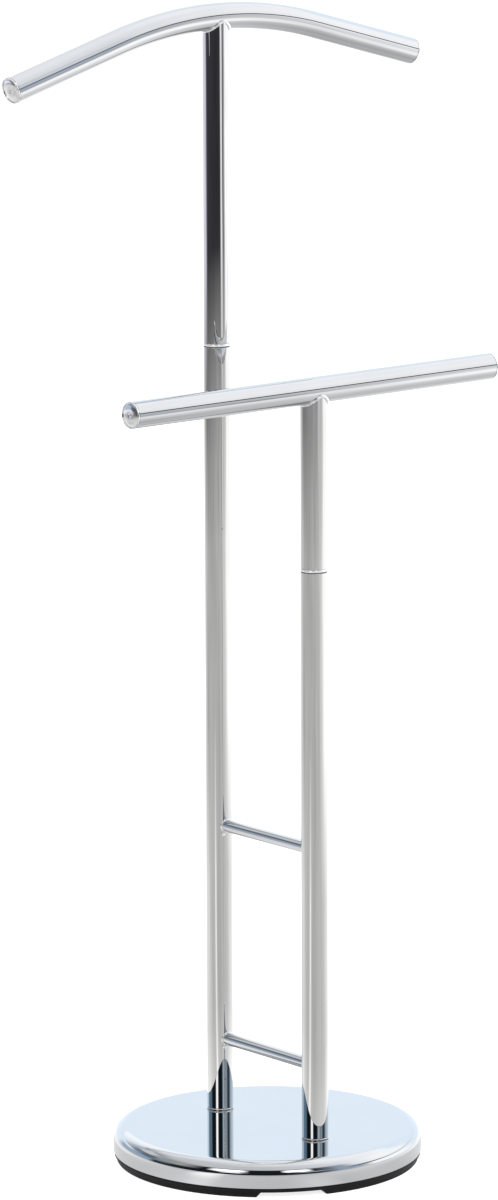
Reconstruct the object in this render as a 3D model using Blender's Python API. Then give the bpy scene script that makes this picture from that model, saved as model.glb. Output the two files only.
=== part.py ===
"""Chrome valet stand: a weighted round base, two posts, a jacket hanger and a trouser bar.

Origin at the centre of the base on the floor, +Z up, +X along the trouser bar and the hanger,
-Y towards the user: the front post carries the trouser bar, the rear post the hanger.
Each upper tube plugs into its lower tube at a collar, so hanger and bar can be turned.
"""
import math

import bmesh
import bpy
from mathutils import Matrix, Vector

# General clearances and mesh steps
GAP = 0.0003                    # between faces that touch
PLUG_CLEARANCE = 0.0002         # radial, between a joint pin and its bush
ROUND_STEPS = 40                # facets round a tube
BASE_STEPS = 80                 # facets round the base
SMOOTH_ANGLE = math.radians(30)

# Tubes
TUBE_RADIUS = 0.012
TUBE_WALL = 0.0012
RUNG_RADIUS = 0.0058
RUNG_WALL = 0.001

# Posts
POST_SPACING = 0.136            # between the post axes, along Y
REAR_JOINT_HEIGHT = 0.7398      # middle of the rear collar
FRONT_JOINT_HEIGHT = 0.5535     # middle of the front collar
RUNG_HEIGHTS = {"lower_rung": 0.0992, "upper_rung": 0.2987}

# Jacket hanger: a shallow arc with straight ends
HANGER_HEIGHT = 1.035           # tube axis at its highest point
HANGER_ARC_RADIUS = 0.414
HANGER_HALF_ANGLE = math.radians(15.75)
HANGER_END_RUN = 0.120
HANGER_ARC_STEPS = 16

# Trouser bar
BAR_HEIGHT = 0.715
BAR_LENGTH = 0.410              # tube only, without its caps

# Base, from the floor up
BASE_RADIUS = 0.140
FOOT_HEIGHT = 0.005
FOOT_OUTER_INSET = 0.003        # foot ring inside the cover's radius
FOOT_WIDTH = 0.014
FOOT_GAP_WIDTH = 0.052
FOOT_GAP_ANGLES = [math.radians(angle) for angle in (-120.0, 0.0, 120.0)]
PAN_FLANGE_HEIGHT = 0.0032
PAN_FLANGE_INSET = 0.0008
PAN_FLOOR = 0.002
PAN_WALL = 0.002
PAN_RIM_HEIGHT = 0.007          # above the flange, inside the cover
PAN_RIM_CLEARANCE = 0.0005
COVER_HEIGHT = 0.0235
COVER_WALL = 0.0012
COVER_EDGE_RADIUS = 0.0125
COVER_EDGE_STEPS = 6

# Bolts that hold the posts down, size M8
BOLT_RADIUS = 0.0039
BOLT_HOLE_RADIUS = 0.0045
BOLT_HEAD_RADIUS = 0.0075       # over the corners of the hexagon
BOLT_HEAD_HEIGHT = 0.0053
BOLT_HEAD_RECESS = 0.001        # above the underside of the pan
WASHER_RADIUS = 0.010
WASHER_HEIGHT = 0.0016
POCKET_CLEARANCE = 0.0015       # radial, round a washer
FOOT_RING_HEIGHT = 0.0012
FOOT_RING_MARGIN = 0.0004       # beyond the tube
INSERT_HEIGHT = 0.020
INSERT_HOLE_RADIUS = 0.0042

# Plug joints in the posts
COLLAR_HEIGHT = 0.003
COLLAR_MARGIN = 0.00035         # beyond the tube
COLLAR_ROUNDING = 0.0006
BUSH_DEPTH = 0.040
BUSH_WALL = 0.002
PIN_DEPTH = 0.036               # below the collar's middle
PIN_HEAD_LENGTH = 0.026         # inside the upper tube

# End caps
CAP_HEIGHT = 0.0014
CAP_DOME = 0.0004
CAP_ROUNDING = 0.0005
CAP_STEM = 0.012
CAP_DIMPLE_RADIUS = 0.0011
CAP_DIMPLE_DEPTH = 0.0003

# Sizes that follow from those above
TUBE_BORE = TUBE_RADIUS - TUBE_WALL
FIT_RADIUS = TUBE_BORE - GAP    # of what sits inside a tube
REAR_Y = POST_SPACING / 2
FRONT_Y = -POST_SPACING / 2
COVER_BOTTOM = FOOT_HEIGHT + PAN_FLANGE_HEIGHT + GAP
BASE_TOP = COVER_BOTTOM + COVER_HEIGHT
PAN_FLOOR_TOP = FOOT_HEIGHT + PAN_FLOOR
TUBE_BOTTOM = BASE_TOP + FOOT_RING_HEIGHT + 2 * GAP
BOLT_HEAD_BOTTOM = FOOT_HEIGHT + BOLT_HEAD_RECESS
BOLT_HEAD_TOP = BOLT_HEAD_BOTTOM + BOLT_HEAD_HEIGHT
WASHER_BOTTOM = BOLT_HEAD_TOP + GAP
POCKET_TOP = WASHER_BOTTOM + WASHER_HEIGHT + GAP
POCKET_RADIUS = WASHER_RADIUS + POCKET_CLEARANCE
INSERT_BOTTOM = TUBE_BOTTOM + GAP
BOLT_TOP = INSERT_BOTTOM + INSERT_HEIGHT
SADDLE_RADIUS = TUBE_RADIUS + GAP   # cut in whatever is welded against a tube
BUSH_BORE = FIT_RADIUS - BUSH_WALL
PIN_RADIUS = BUSH_BORE - PLUG_CLEARANCE
COLLAR_RADIUS = TUBE_RADIUS + COLLAR_MARGIN

# Colours, linear RGB
CHROME = (0.80, 0.82, 0.84)
SATIN_STEEL = (0.62, 0.63, 0.65)
ZINC = (0.55, 0.56, 0.58)
BLACK_PLASTIC = (0.012, 0.012, 0.014)
CEMENT = (0.36, 0.35, 0.33)


def clear_scene():
    """Remove every object so that the stand is built in an empty scene."""
    for item in list(bpy.data.objects):
        bpy.data.objects.remove(item, do_unlink=True)


def make_material(name, colour, roughness, metallic):
    """Return a Principled material with the given look."""
    material = bpy.data.materials.new(name)
    material.use_nodes = True
    shader = material.node_tree.nodes["Principled BSDF"]
    shader.inputs["Base Color"].default_value = (*colour, 1.0)
    shader.inputs["Roughness"].default_value = roughness
    shader.inputs["Metallic"].default_value = metallic
    return material


def make_object(name, mesh_builder, look, parent=None):
    """Turn a finished bmesh into a named, smooth-shaded object with its own material."""
    bmesh.ops.remove_doubles(mesh_builder, verts=mesh_builder.verts, dist=1e-7)
    bmesh.ops.recalc_face_normals(mesh_builder, faces=mesh_builder.faces)
    mesh = bpy.data.meshes.new(name)
    mesh_builder.to_mesh(mesh)
    mesh_builder.free()
    mesh.shade_smooth()
    mesh.set_sharp_from_angle(angle=SMOOTH_ANGLE)
    item = bpy.data.objects.new(name, mesh)
    bpy.context.scene.collection.objects.link(item)
    if look is not None:
        mesh.materials.append(make_material(name, *look))
    if parent is not None:
        item.parent = parent
    return item


def make_cutter(name, mesh_builder, parent=None):
    """Make a hidden solid that only cuts or joins others."""
    cutter = make_object(name, mesh_builder, None, parent)
    cutter.hide_render = True
    cutter.display_type = "WIRE"
    return cutter


def combine(item, tool, operation):
    """Add an exact Boolean modifier."""
    modifier = item.modifiers.new(operation.lower() + "_" + tool.name, "BOOLEAN")
    modifier.operation = operation
    modifier.object = tool
    modifier.solver = "EXACT"


def turned(profile, steps, closed):
    """Spin a profile of (radius, height) points round Z.

    A closed profile makes a ring; an open one starts and ends on the axis.
    """
    builder = bmesh.new()
    points = [builder.verts.new((radius, 0.0, height)) for radius, height in profile]
    edges = [builder.edges.new(pair) for pair in zip(points, points[1:])]
    if closed:
        edges.append(builder.edges.new((points[-1], points[0])))
    bmesh.ops.spin(
        builder, geom=points + edges, cent=(0, 0, 0), axis=(0, 0, 1),
        angle=2 * math.pi, steps=steps, use_merge=True)
    return builder


def ring_profile(inner, outer, bottom, top):
    """Profile of a plain ring or tube."""
    return [(inner, bottom), (outer, bottom), (outer, top), (inner, top)]


def disc_profile(radius, bottom, top):
    """Profile of a plain disc or rod."""
    return [(0.0, bottom), (radius, bottom), (radius, top), (0.0, top)]


def arc_points(centre_radius, centre_height, radius, start, end, steps):
    """Points along a circular arc in a turned profile."""
    angles = [start + (end - start) * step / steps for step in range(steps + 1)]
    return [(centre_radius + radius * math.cos(angle), centre_height + radius * math.sin(angle))
            for angle in angles]


def swept(path, outer, inner=None):
    """Sweep a round section along (point, tangent) stations in the XZ plane.

    With an inner radius the result is an open tube, otherwise a rod with flat ends.
    """
    builder = bmesh.new()
    sideways = Vector((0.0, 1.0, 0.0))

    def ring_of_points(point, tangent, radius):
        upwards = tangent.cross(sideways)
        points = []
        for step in range(ROUND_STEPS):
            angle = 2 * math.pi * step / ROUND_STEPS
            offset = sideways * math.cos(angle) + upwards * math.sin(angle)
            points.append(builder.verts.new(point + offset * radius))
        return points

    def bridge(first, second):
        for step in range(ROUND_STEPS):
            following = (step + 1) % ROUND_STEPS
            builder.faces.new((first[step], first[following], second[following], second[step]))

    skins = []
    for radius in (outer, inner):
        if radius is not None:
            skins.append([ring_of_points(point, tangent, radius) for point, tangent in path])
    for rings in skins:
        for first, second in zip(rings, rings[1:]):
            bridge(first, second)
    for end in (0, -1):
        if inner is None:
            builder.faces.new(skins[0][end])
        else:
            bridge(skins[0][end], skins[1][end])
    return builder


def straight_path(length):
    """Stations of a straight run along X, centred on the origin."""
    along = Vector((1.0, 0.0, 0.0))
    return [(along * (-length / 2), along), (along * (length / 2), along)]


def hanger_path():
    """Stations of the hanger's axis from -X to +X, with its highest point at the origin."""
    stations = []
    for step in range(HANGER_ARC_STEPS + 1):
        angle = HANGER_HALF_ANGLE * (2 * step / HANGER_ARC_STEPS - 1)
        drop = HANGER_ARC_RADIUS * (math.cos(angle) - 1)
        point = Vector((HANGER_ARC_RADIUS * math.sin(angle), 0.0, drop))
        tangent = Vector((math.cos(angle), 0.0, -math.sin(angle)))
        stations.append((point, tangent))
    first_point, first_tangent = stations[0]
    last_point, last_tangent = stations[-1]
    start = (first_point - first_tangent * HANGER_END_RUN, first_tangent)
    end = (last_point + last_tangent * HANGER_END_RUN, last_tangent)
    return [start] + stations + [end]


def make_joint_empty(name, y, height):
    """An empty on a joint's axis, in the middle of its collar."""
    empty = bpy.data.objects.new(name, None)
    empty.location = (0.0, y, height)
    bpy.context.scene.collection.objects.link(empty)
    return empty


def bolt_hole_cutters(name, profile):
    """One upright turned solid under each post, to cut holes in the base."""
    cutters = []
    for side, y in (("rear", REAR_Y), ("front", FRONT_Y)):
        cutter = make_cutter(side + "_" + name, turned(profile, ROUND_STEPS, False))
        cutter.location = (0.0, y, 0.0)
        cutters.append(cutter)
    return cutters


def build_base_cover():
    """Dished steel shell, chromed, with a rounded upper edge and two bolt holes."""
    arc_radius = BASE_RADIUS - COVER_EDGE_RADIUS
    arc_height = BASE_TOP - COVER_EDGE_RADIUS
    quarter = math.pi / 2
    outside = arc_points(arc_radius, arc_height, COVER_EDGE_RADIUS, 0.0, quarter, COVER_EDGE_STEPS)
    inside = arc_points(
        arc_radius, arc_height, COVER_EDGE_RADIUS - COVER_WALL, quarter, 0.0, COVER_EDGE_STEPS)
    profile = [(BASE_RADIUS, COVER_BOTTOM)] + outside + [(0.0, BASE_TOP)]
    profile += [(0.0, BASE_TOP - COVER_WALL)] + inside
    profile += [(BASE_RADIUS - COVER_WALL, COVER_BOTTOM)]
    look = (CHROME, 0.05, 1.0)
    cover = make_object("base_cover", shell_of(profile), look)
    hole = disc_profile(BOLT_HOLE_RADIUS, COVER_BOTTOM, BASE_TOP + COVER_WALL)
    for cutter in bolt_hole_cutters("cover_hole", hole):
        combine(cover, cutter, "DIFFERENCE")
    return cover


def shell_of(profile):
    """Turn a profile that crosses the axis twice and closes at its lower lip."""
    builder = turned(profile, BASE_STEPS, False)
    rim = [edge for edge in builder.edges if edge.is_boundary]
    bmesh.ops.bridge_loops(builder, edges=rim)
    return builder


def build_base_ballast():
    """Cement disc that fills the cover, with a pocket and a hole for each bolt."""
    rim_inside = BASE_RADIUS - COVER_WALL - PAN_RIM_CLEARANCE - PAN_WALL
    bottom = PAN_FLOOR_TOP + GAP
    top = BASE_TOP - COVER_WALL - GAP
    shoulder = max(BASE_TOP - COVER_EDGE_RADIUS, bottom + GAP)
    profile = [
        (0.0, bottom),
        (rim_inside - GAP, bottom),
        (rim_inside - GAP, shoulder),
        (BASE_RADIUS - COVER_EDGE_RADIUS, top),
        (0.0, top),
    ]
    look = (CEMENT, 0.9, 0.0)
    ballast = make_object("base_ballast", turned(profile, BASE_STEPS, False), look)
    pocket_and_hole = [
        (0.0, 0.0),
        (POCKET_RADIUS, 0.0),
        (POCKET_RADIUS, POCKET_TOP),
        (BOLT_HOLE_RADIUS, POCKET_TOP),
        (BOLT_HOLE_RADIUS, BASE_TOP),
        (0.0, BASE_TOP),
    ]
    for cutter in bolt_hole_cutters("ballast_pocket", pocket_and_hole):
        combine(ballast, cutter, "DIFFERENCE")
    return ballast


def build_base_pan():
    """Black plastic underside: a floor, a rim inside the cover, and a foot ring with gaps."""
    foot_outer = BASE_RADIUS - FOOT_OUTER_INSET
    foot_inner = foot_outer - FOOT_WIDTH
    flange_radius = BASE_RADIUS - PAN_FLANGE_INSET
    flange_top = FOOT_HEIGHT + PAN_FLANGE_HEIGHT
    rim_outer = BASE_RADIUS - COVER_WALL - PAN_RIM_CLEARANCE
    rim_inner = rim_outer - PAN_WALL
    rim_top = flange_top + PAN_RIM_HEIGHT
    profile = [
        (0.0, FOOT_HEIGHT),
        (foot_inner, FOOT_HEIGHT),
        (foot_inner, 0.0),
        (foot_outer, 0.0),
        (foot_outer, FOOT_HEIGHT),
        (flange_radius, FOOT_HEIGHT),
        (flange_radius, flange_top),
        (rim_outer, flange_top),
        (rim_outer, rim_top),
        (rim_inner, rim_top),
        (rim_inner, PAN_FLOOR_TOP),
        (0.0, PAN_FLOOR_TOP),
    ]
    look = (BLACK_PLASTIC, 0.45, 0.0)
    pan = make_object("base_pan", turned(profile, BASE_STEPS, False), look)
    hole = disc_profile(POCKET_RADIUS, 0.0, PAN_FLOOR_TOP + PAN_FLOOR)
    for cutter in bolt_hole_cutters("pan_hole", hole):
        combine(pan, cutter, "DIFFERENCE")
    for number, angle in enumerate(FOOT_GAP_ANGLES):
        builder = bmesh.new()
        bmesh.ops.create_cube(builder, size=1.0)
        length = 2 * FOOT_WIDTH
        size = Matrix.Diagonal((length, FOOT_GAP_WIDTH, 2 * FOOT_HEIGHT, 1.0))
        bmesh.ops.transform(builder, matrix=size, verts=builder.verts)
        cutter = make_cutter("foot_gap_%d" % (number + 1), builder)
        middle = foot_outer - FOOT_WIDTH / 2
        cutter.location = (middle * math.cos(angle), middle * math.sin(angle), 0.0)
        cutter.rotation_euler = (0.0, 0.0, angle)
        combine(pan, cutter, "DIFFERENCE")
    return pan


def build_bolt(side, y):
    """Hexagon bolt from under the base up into the post's insert."""
    head_profile = disc_profile(BOLT_HEAD_RADIUS, BOLT_HEAD_BOTTOM, BOLT_HEAD_TOP)
    look = (ZINC, 0.35, 1.0)
    bolt = make_object(side + "_post_bolt", turned(head_profile, 6, False), look)
    shank_bottom = BOLT_HEAD_BOTTOM + BOLT_HEAD_HEIGHT / 2
    shank_profile = disc_profile(BOLT_RADIUS, shank_bottom, BOLT_TOP)
    shank = make_cutter(side + "_bolt_shank", turned(shank_profile, ROUND_STEPS // 2, False))
    bolt.location = (0.0, y, 0.0)
    shank.location = (0.0, y, 0.0)
    combine(bolt, shank, "UNION")


def build_ring(name, inner, outer, bottom, height, y, look):
    """Plain upright ring on a post's axis."""
    profile = ring_profile(inner, outer, bottom, bottom + height)
    ring = make_object(name, turned(profile, ROUND_STEPS, True), look)
    ring.location = (0.0, y, 0.0)
    return ring


def build_post_foot(side, y):
    """Everything that holds the lower end of a post on the base."""
    build_bolt(side, y)
    build_ring(side + "_post_washer", INSERT_HOLE_RADIUS, WASHER_RADIUS,
               WASHER_BOTTOM, WASHER_HEIGHT, y, (ZINC, 0.35, 1.0))
    build_ring(side + "_foot_ring", BOLT_HOLE_RADIUS, TUBE_RADIUS + FOOT_RING_MARGIN,
               BASE_TOP + GAP, FOOT_RING_HEIGHT, y, (CHROME, 0.08, 1.0))
    build_ring(side + "_foot_insert", INSERT_HOLE_RADIUS, FIT_RADIUS,
               INSERT_BOTTOM, INSERT_HEIGHT, y, (ZINC, 0.4, 1.0))


def build_lower_tube(side, y, joint_height):
    """Post tube from the base up to its collar."""
    top = joint_height - COLLAR_HEIGHT / 2 - GAP
    build_ring(side + "_lower_tube", TUBE_BORE, TUBE_RADIUS,
               TUBE_BOTTOM, top - TUBE_BOTTOM, y, (CHROME, 0.05, 1.0))


def build_bush(side, y, joint_height):
    """Plastic bush: a sleeve in the lower tube and the collar that shows between the tubes."""
    half = COLLAR_HEIGHT / 2
    edge = COLLAR_RADIUS - COLLAR_ROUNDING
    profile = [(BUSH_BORE, -BUSH_DEPTH), (FIT_RADIUS, -BUSH_DEPTH), (FIT_RADIUS, -half)]
    profile += arc_points(edge, -half + COLLAR_ROUNDING, COLLAR_ROUNDING, -math.pi / 2, 0.0, 3)
    profile += arc_points(edge, half - COLLAR_ROUNDING, COLLAR_ROUNDING, 0.0, math.pi / 2, 3)
    profile += [(BUSH_BORE, half)]
    look = (SATIN_STEEL, 0.2, 1.0)
    bush = make_object(side + "_joint_bush", turned(profile, ROUND_STEPS, True), look)
    bush.location = (0.0, y, joint_height)


def build_pin(side, head):
    """Spigot fixed in the upper tube, turning in the bush."""
    shoulder = COLLAR_HEIGHT / 2 + 2 * GAP
    profile = [
        (0.0, -PIN_DEPTH),
        (PIN_RADIUS, -PIN_DEPTH),
        (PIN_RADIUS, shoulder),
        (FIT_RADIUS, shoulder),
        (FIT_RADIUS, shoulder + PIN_HEAD_LENGTH),
        (0.0, shoulder + PIN_HEAD_LENGTH),
    ]
    look = (SATIN_STEEL, 0.35, 1.0)
    make_object(side + "_joint_pin", turned(profile, ROUND_STEPS, False), look, head)


def build_upper_tube(side, head, axis_height, cross_path):
    """Post tube above the collar, cut at the top to fit round the tube it is welded to."""
    bottom = COLLAR_HEIGHT / 2 + GAP
    profile = ring_profile(TUBE_BORE, TUBE_RADIUS, bottom, axis_height)
    look = (CHROME, 0.05, 1.0)
    tube = make_object(side + "_upper_tube", turned(profile, ROUND_STEPS, True), look, head)
    cutter = make_cutter(side + "_saddle", swept(cross_path, SADDLE_RADIUS), head)
    cutter.location = (0.0, 0.0, axis_height)
    combine(tube, cutter, "DIFFERENCE")


def build_cap(name, head, point, tangent):
    """Slightly domed plug in a tube's end, facing along the tangent."""
    face = GAP + CAP_HEIGHT
    edge = TUBE_RADIUS - CAP_ROUNDING
    profile = [(0.0, -CAP_STEM), (FIT_RADIUS, -CAP_STEM), (FIT_RADIUS, GAP), (TUBE_RADIUS, GAP)]
    profile += arc_points(edge, face - CAP_ROUNDING, CAP_ROUNDING, 0.0, math.pi / 2, 3)
    profile += [
        (TUBE_RADIUS / 2, face + CAP_DOME * 0.7),
        (CAP_DIMPLE_RADIUS, face + CAP_DOME),
        (CAP_DIMPLE_RADIUS * 0.6, face + CAP_DOME - CAP_DIMPLE_DEPTH),
        (0.0, face + CAP_DOME - CAP_DIMPLE_DEPTH),
    ]
    look = (SATIN_STEEL, 0.3, 1.0)
    cap = make_object(name, turned(profile, ROUND_STEPS, False), look, head)
    cap.location = point
    cap.rotation_euler = Vector((0.0, 0.0, 1.0)).rotation_difference(tangent).to_euler()


def build_cross_tube(name, cap_name, head, path, axis_height):
    """Horizontal tube on a post head, with a cap in each end."""
    look = (CHROME, 0.05, 1.0)
    tube = make_object(name, swept(path, TUBE_RADIUS, TUBE_BORE), look, head)
    lift = Vector((0.0, 0.0, axis_height))
    tube.location = lift
    first_point, first_tangent = path[0]
    last_point, last_tangent = path[-1]
    build_cap(cap_name + "_left", head, first_point + lift, -first_tangent)
    build_cap(cap_name + "_right", head, last_point + lift, last_tangent)


def build_rung(name, height):
    """Short tube between the two lower tubes, saddle-cut at both ends."""
    profile = ring_profile(RUNG_RADIUS - RUNG_WALL, RUNG_RADIUS, FRONT_Y, REAR_Y)
    look = (CHROME, 0.05, 1.0)
    rung = make_object(name, turned(profile, ROUND_STEPS // 2, True), look)
    rung.rotation_euler = (-math.pi / 2, 0.0, 0.0)
    rung.location = (0.0, 0.0, height)
    cut_profile = disc_profile(SADDLE_RADIUS, height - 2 * RUNG_RADIUS, height + 2 * RUNG_RADIUS)
    for side, y in (("rear", REAR_Y), ("front", FRONT_Y)):
        builder = turned(cut_profile, ROUND_STEPS, False)
        cutter = make_cutter(name + "_" + side + "_saddle", builder)
        cutter.location = (0.0, y, 0.0)
        combine(rung, cutter, "DIFFERENCE")


def build_stand():
    """Build every piece of the valet stand."""
    build_base_cover()
    build_base_ballast()
    build_base_pan()
    posts = (("rear", REAR_Y, REAR_JOINT_HEIGHT), ("front", FRONT_Y, FRONT_JOINT_HEIGHT))
    for side, y, joint_height in posts:
        build_post_foot(side, y)
        build_lower_tube(side, y, joint_height)
        build_bush(side, y, joint_height)
    for name, height in RUNG_HEIGHTS.items():
        build_rung(name, height)

    hanger_head = make_joint_empty("hanger_head", REAR_Y, REAR_JOINT_HEIGHT)
    hanger_lift = HANGER_HEIGHT - REAR_JOINT_HEIGHT
    build_pin("rear", hanger_head)
    build_upper_tube("rear", hanger_head, hanger_lift, hanger_path())
    build_cross_tube("hanger_tube", "hanger_cap", hanger_head, hanger_path(), hanger_lift)

    trouser_head = make_joint_empty("trouser_head", FRONT_Y, FRONT_JOINT_HEIGHT)
    bar_lift = BAR_HEIGHT - FRONT_JOINT_HEIGHT
    bar_path = straight_path(BAR_LENGTH)
    build_pin("front", trouser_head)
    build_upper_tube("front", trouser_head, bar_lift, bar_path)
    build_cross_tube("trouser_bar", "bar_cap", trouser_head, bar_path, bar_lift)


clear_scene()
build_stand()
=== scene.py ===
"""Looks for the chrome valet stand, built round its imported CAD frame."""

import math

import bmesh
import bpy
from mathutils import Matrix, Vector


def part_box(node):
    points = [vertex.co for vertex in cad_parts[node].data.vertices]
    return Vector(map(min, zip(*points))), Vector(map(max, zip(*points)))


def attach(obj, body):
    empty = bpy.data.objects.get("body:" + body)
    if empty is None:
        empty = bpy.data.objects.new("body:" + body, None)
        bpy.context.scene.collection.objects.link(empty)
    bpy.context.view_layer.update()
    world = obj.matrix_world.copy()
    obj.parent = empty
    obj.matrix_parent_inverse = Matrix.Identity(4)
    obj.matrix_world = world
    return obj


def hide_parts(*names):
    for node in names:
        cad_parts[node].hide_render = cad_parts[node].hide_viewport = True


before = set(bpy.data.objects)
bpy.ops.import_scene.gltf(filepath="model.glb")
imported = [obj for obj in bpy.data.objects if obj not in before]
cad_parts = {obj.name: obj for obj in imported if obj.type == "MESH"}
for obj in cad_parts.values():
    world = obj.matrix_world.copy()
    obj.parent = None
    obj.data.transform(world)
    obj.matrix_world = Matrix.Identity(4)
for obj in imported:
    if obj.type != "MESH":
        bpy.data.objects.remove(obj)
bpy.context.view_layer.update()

# Mesh steps
TUBE_SIDES = 96
BASE_SIDES = 256
RUNG_SIDES = 64
ARC_STEPS = 72
STRAIGHT_STEPS = 12
SADDLED_ROWS = 24
SECTOR_STEPS = 48
SMOOTH_ANGLE = math.radians(35)

# Sizes that the frame's boxes don't give, the same as the CAD's
GAP = 0.0003                    # between faces that touch
TUBE_WALL = 0.0012
RUNG_WALL = 0.001
HANGER_ARC_RADIUS = 0.414
HANGER_HALF_ANGLE = math.radians(15.75)
HANGER_END_RUN = 0.120
BASE_EDGE_RADIUS = 0.0125
BASE_WALL = 0.0012
FOOT_HEIGHT = 0.005
FOOT_WIDTH = 0.014
FOOT_INSET = 0.003
FOOT_GAP_WIDTH = 0.052
FOOT_GAP_ANGLES = [math.radians(angle) for angle in (-120.0, 0.0, 120.0)]
PAN_FLOOR = 0.002
BOLT_POCKET_RADIUS = 0.0115
CUTTER_BOTTOM = -0.01           # the disc that cuts a pocket goes right through the pan
CUTTER_TOP = 0.02

# Fine detail that only the looks carry
TUBE_EDGE = 0.0002              # rounding of a cut tube end
PAN_RIM = 0.003                 # width of the pan's rim under the cover
FOOT_EDGE = 0.0006
FOOT_ROOT = 0.0005              # how far a foot sector reaches into the pan
WELD_RADIUS = 0.0011
WELD_FULL_RADIUS = 0.0019       # on the side where the bead was closed
WELD_FULL_SIDE = math.radians(-30)
WELD_SPREAD = 1.01              # a bead's path, as a share of the tube's radius
WELD_HUG = 0.985                # where the bead reads the saddle's height, likewise
WELD_SINK = 0.0002
WELD_RIPPLE = 0.00008
WELD_RIPPLES = 34
BEAD_SIDES = 12
RUNG_WELD_RADIUS = 0.0009
RUNG_WELD_SPREAD = 1.02
WELD_NUB_RADIUS = 0.0017        # drop of weld under a rung, on the rear post
WELD_NUB_SHAPE = (1.0, 0.9, 1.15)
WELD_NUB_SIDE = (-0.35, -0.937)  # where it sits round the post
WELD_NUB_OUT = 0.45             # its centre off the post, as a share of its radius
WELD_NUB_DOWN = 0.7             # its centre under the rung, likewise
COLLAR_ROUNDING = 0.0013
COLLAR_SEAM = 0.0008            # height of the seam under a collar; the dark ring in it is painted shade for the gap
COLLAR_SHADE_INSET = 0.0005
COLLAR_SHADE_PLAY = 0.0001
COLLAR_RISE = 0.0002            # a collar nearly meets the tube above it
SLEEVE_INSET = 0.0018
SLEEVE_WALL = 0.002
FOOT_RING_GROOVE = 0.0012       # depth of the groove under a foot ring
FOOT_RING_LIFT = 0.4            # share of the ring's height that the groove takes
FOOT_RING_WIDTH = 0.006
CAP_STEM = 0.012
CAP_FACE = 0.0017               # height of the rim over the tube end
CAP_EDGE = 0.0001
CAP_RIM_ROUND = 0.0007
CAP_RIM_TURN = math.radians(144)
CAP_TOP = 0.0021
CAP_DOME = 0.0013
CAP_DOME_POWER = 3.5            # flat in the middle, falling away near the rim
CAP_STEPS = 44
CAP_MARK_RADIUS = 0.0015
CAP_MARK_WIDTH = 0.0005
CAP_MARK_DEPTH = 0.0004

# Camera: bearing and height of the view on the stand
VIEW_AZIMUTH = math.radians(-39.29)
VIEW_ELEVATION = math.radians(11.21)
VIEW_ROLL = math.radians(-0.22)
VIEW_DISTANCE = 6.394
VIEW_PIVOT = Vector((0.0, 0.0, 0.5))
VIEW_TARGET = Vector((-0.0096, 0.0117, 0.5155))
LENS_MM = 213.9

# Tints of what the chrome reflects
NEUTRAL = (1.0, 1.0, 1.0)
DUSK = (0.97, 0.96, 1.10)
NAVY = (0.75, 0.9, 1.15)
TEAL = (0.62, 1.0, 1.35)
MIST = (0.86, 1.0, 1.12)
PALE_BLUE = (0.895, 1.0, 1.11)

# Studio: brightness of everything that the chrome reflects, and its sizes in metres
STUDIO_GAIN = 1.26
DOME_RADIUS = 10.5
GLOW_RADIUS = 10.48
GLOW_DROP = 0.004
FLOOR_RADIUS = 60.0
FLOOR_DROP = 0.0002
FLOOR_BRIGHTNESS = 0.80
AIR_BRIGHTNESS = 0.5

# Where one band of the dome gives way to the next, in degrees above the horizon
SOFT_HORIZON = (12.0, 23.0)
SHARP_HORIZON = (38.0, 42.0)
SHELF_BOTTOM = (12.5, 13.5)
SHELF_TOP = (17.5, 18.5)
HIGH_WALL = (38.0, 52.0)
CEILING = (66.0, 84.0)
CEILING_BRIGHTNESS = 0.82

# The same for the floor disc, in metres from the stand's middle
APRON_EDGE = (0.19, 0.23)
MIDDLE_FLOOR = (1.1, 1.9)
DIM_FLOOR = (3.0, 4.1)
FAR_FLOOR = (4.2, 5.7)

# Panels on the dome: left and right bearing, softness, bottom and top elevation, colour
WALL_PANELS = [
    (-44.0, -18.0, 4.0, 21.0, 36.0, (1.8, 1.8, 1.8)),
    (13.0, 33.0, 3.0, 21.0, 36.0, (1.8, 1.8, 1.8)),
    (-113.0, -95.0, 3.0, 16.0, 29.0, (0.12, 0.145, 0.18)),
    (-130.0, -107.0, 3.0, 29.5, 41.0, (0.60, 0.61, 0.62)),
    (-147.0, -132.0, 3.0, 37.5, 45.0, (0.34, 0.35, 0.37)),
    (-179.0, -156.0, 6.0, 19.0, 38.0, (0.98, 1.0, 1.02)),
]
PANEL_EDGE = 1.0                # softness of a panel's lower and upper edges

# Soft boxes: name, place, size and power
LIGHT_BOXES = [
    ("key_box", (-1.5, -3.5, 3.0), 2.5, 90.0),
    ("fill_box", (3.2, -1.0, 2.2), 2.0, 50.0),
    ("back_box", (0.5, 3.5, 3.0), 2.5, 60.0),
]
LIGHT_AIM = Vector((0.0, 0.0, 0.4))


# ---------------------------------------------------------------- meshes

def turned(profile, sides, closed=False):
    """Spin a profile of (radius, height) points round Z; a closed one makes a ring."""
    builder = bmesh.new()
    rings = []
    for radius, height in profile:
        if radius < 1e-9:
            rings.append([builder.verts.new((0.0, 0.0, height))])
            continue
        ring = []
        for side in range(sides):
            angle = 2 * math.pi * side / sides
            corner = (radius * math.cos(angle), radius * math.sin(angle), height)
            ring.append(builder.verts.new(corner))
        rings.append(ring)
    pairs = list(zip(rings, rings[1:]))
    if closed:
        pairs.append((rings[-1], rings[0]))
    for first, second in pairs:
        join_rings(builder, first, second)
    return builder


def join_rings(builder, first, second):
    """Fill between two rings of equal count, or between a ring and a single point."""
    count = max(len(first), len(second))
    for side in range(count):
        following = (side + 1) % count
        corners = []
        for ring, index in ((first, side), (first, following), (second, following), (second, side)):
            corner = ring[index] if len(ring) > 1 else ring[0]
            if corner not in corners:
                corners.append(corner)
        if len(corners) > 2:
            builder.faces.new(corners)


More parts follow.
